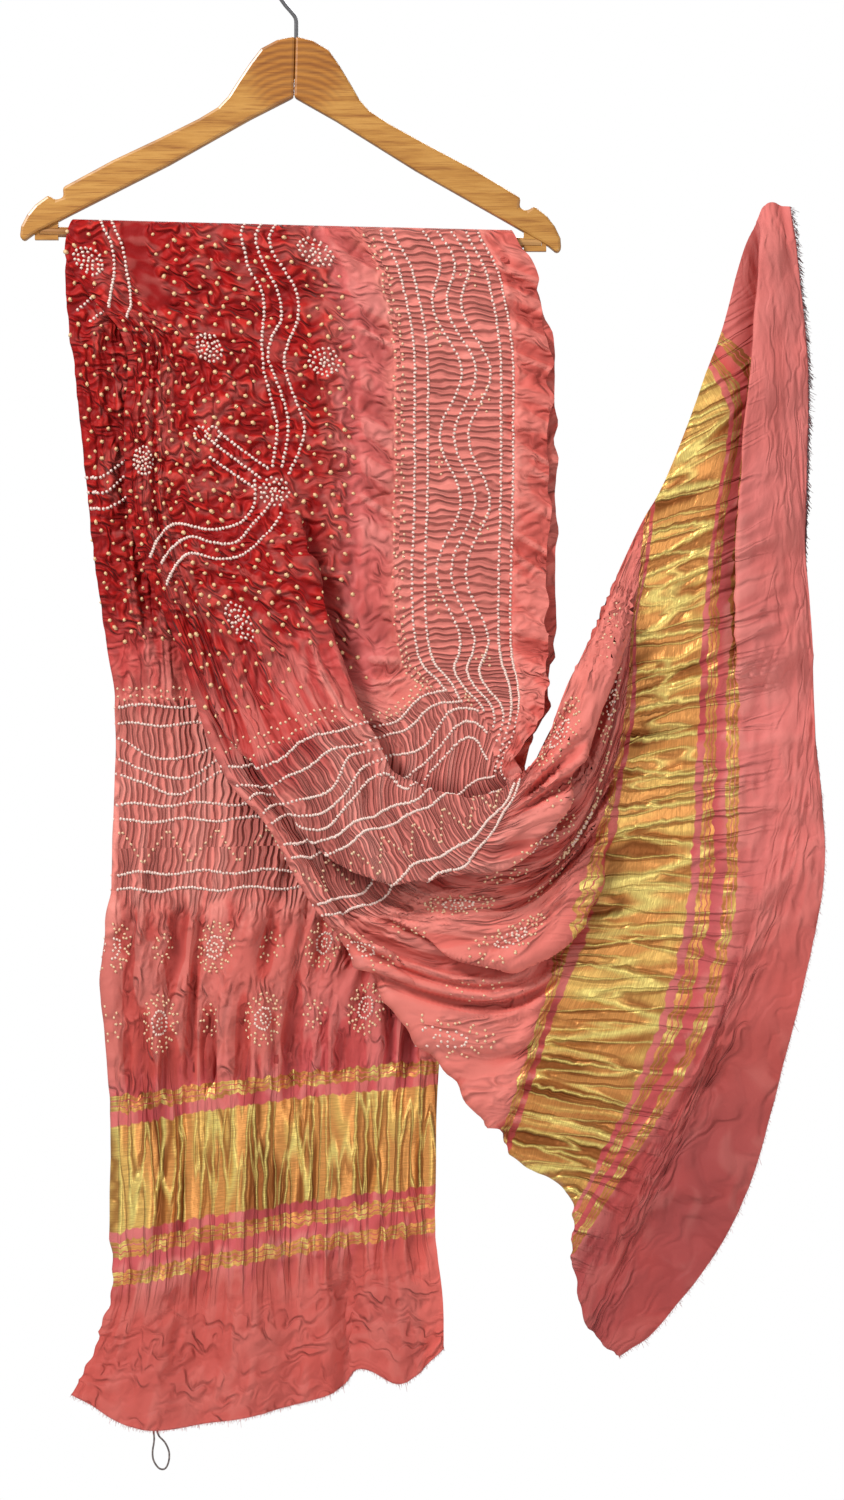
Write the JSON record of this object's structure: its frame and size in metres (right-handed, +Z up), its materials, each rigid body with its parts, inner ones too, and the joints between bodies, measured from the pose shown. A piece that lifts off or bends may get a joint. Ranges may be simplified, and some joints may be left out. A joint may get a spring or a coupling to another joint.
{
  "type": "bandhani cloth on a clothes hanger",
  "caption": "Folded tie-dyed cloth hung over the bar of a wooden clothes hanger, its front half drawn aside in a deep swag up to one corner.",
  "frame": {"origin": "where the inside top of the hook bears on its rail", "axes": "+X to the viewer's right, +Y away from the viewer, +Z up"},
  "size_m": [0.6603, 0.0963, 1.252],
  "materials": {
    "dyed_silk": "crinkled tie-dyed silk with gold bands",
    "honey_wood": "clear satin lacquer",
    "bar_wood": "plain sanded",
    "hook_steel": "bright plated wire",
    "grey_thread": "twisted thread"
  },
  "bodies": {
    "root": {"cloth": "dyed_silk", "hanger_arm_left": "honey_wood", "hanger_arm_right": "honey_wood", "trouser_bar": "bar_wood", "hook": "hook_steel", "hem_loop": "grey_thread"}
  },
  "joints": []
}
